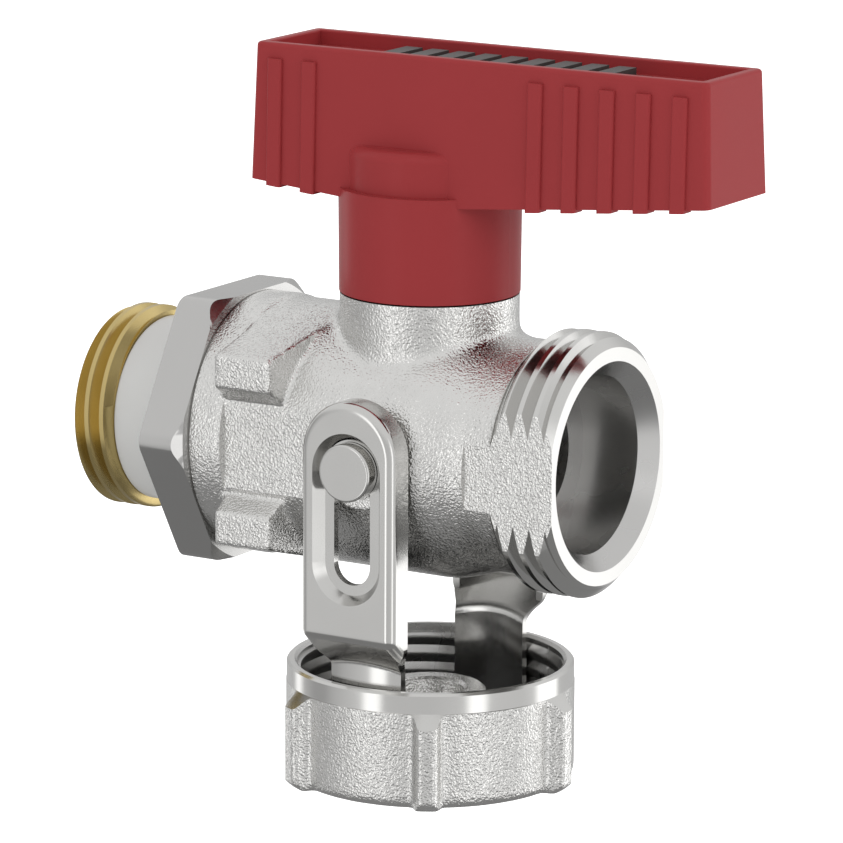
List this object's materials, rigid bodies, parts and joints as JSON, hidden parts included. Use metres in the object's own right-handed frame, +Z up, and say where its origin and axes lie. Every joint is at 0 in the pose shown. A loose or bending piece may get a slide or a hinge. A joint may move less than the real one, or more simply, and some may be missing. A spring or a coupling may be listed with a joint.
{
  "type": "fill and drain ball valve",
  "caption": "Quarter-turn ball valve for filling and draining a heating system, with a long lever handle and a screw cap that hangs from a slotted swing bracket.",
  "frame": {"origin": "centre of the inlet's end face, on the pipe axis", "axes": "+X along the pipe towards the outlet, +Z up the stem towards the handle, -X out of the inlet"},
  "size_m": [0.0708, 0.0334, 0.074],
  "materials": {
    "forged_nickel": "nickel-plated brass forging with a fine leathery grain, machined faces smooth",
    "turned_nickel": "satin nickel-plated brass, thread left bare",
    "plain_brass": "turned brass",
    "polished_chrome": "hard chrome-plated",
    "white_ptfe": "satin white PTFE",
    "red_plastic": "moulded red polyamide, satin",
    "grey_plastic": "dark grey moulded insert",
    "bracket_steel": "pressed and tumbled stainless steel",
    "black_rubber": "matt black rubber"
  },
  "bodies": {
    "valve": {"valve_body": "forged_nickel", "inlet_tailpiece": "turned_nickel", "tailpiece_o_ring": "black_rubber", "inlet_seal_ring": "white_ptfe", "inlet_seat": "white_ptfe", "outlet_seat": "white_ptfe", "stem_thrust_washer": "white_ptfe"},
    "spindle": {"ball": "polished_chrome", "stem": "plain_brass", "lower_stem_o_ring": "black_rubber", "upper_stem_o_ring": "black_rubber", "handle": "red_plastic", "handle_insert": "grey_plastic", "handle_washer": "bracket_steel", "handle_screw": "bracket_steel"},
    "pins": {"near_bracket_pin": "bracket_steel", "far_bracket_pin": "bracket_steel"},
    "bracket": {"cap_bracket": "bracket_steel"},
    "screw_cap": {"cap": "forged_nickel", "cap_seal": "black_rubber"}
  },
  "joints": [
    {"name": "handle_turn", "type": "hinge", "parent": "valve", "child": "spindle", "pos_m": [0.0363, 0, 0.02], "axis": [0, 0, 1], "range_deg": [-90, 0]},
    {"name": "bracket_swing", "type": "hinge", "parent": "valve", "child": "pins", "pos_m": [0.0366, 0, 0], "axis": [0, -1, 0], "range_deg": [0, 90]},
    {"name": "bracket_slide", "type": "slide", "parent": "pins", "child": "bracket", "axis": [0, 0, 1], "range_m": [0, 0.0087]},
    {"name": "cap_spin", "type": "hinge", "parent": "bracket", "child": "screw_cap", "pos_m": [0.0366, 0, -0.03], "axis": [0, 0, 1], "continuous": true}
  ]
}
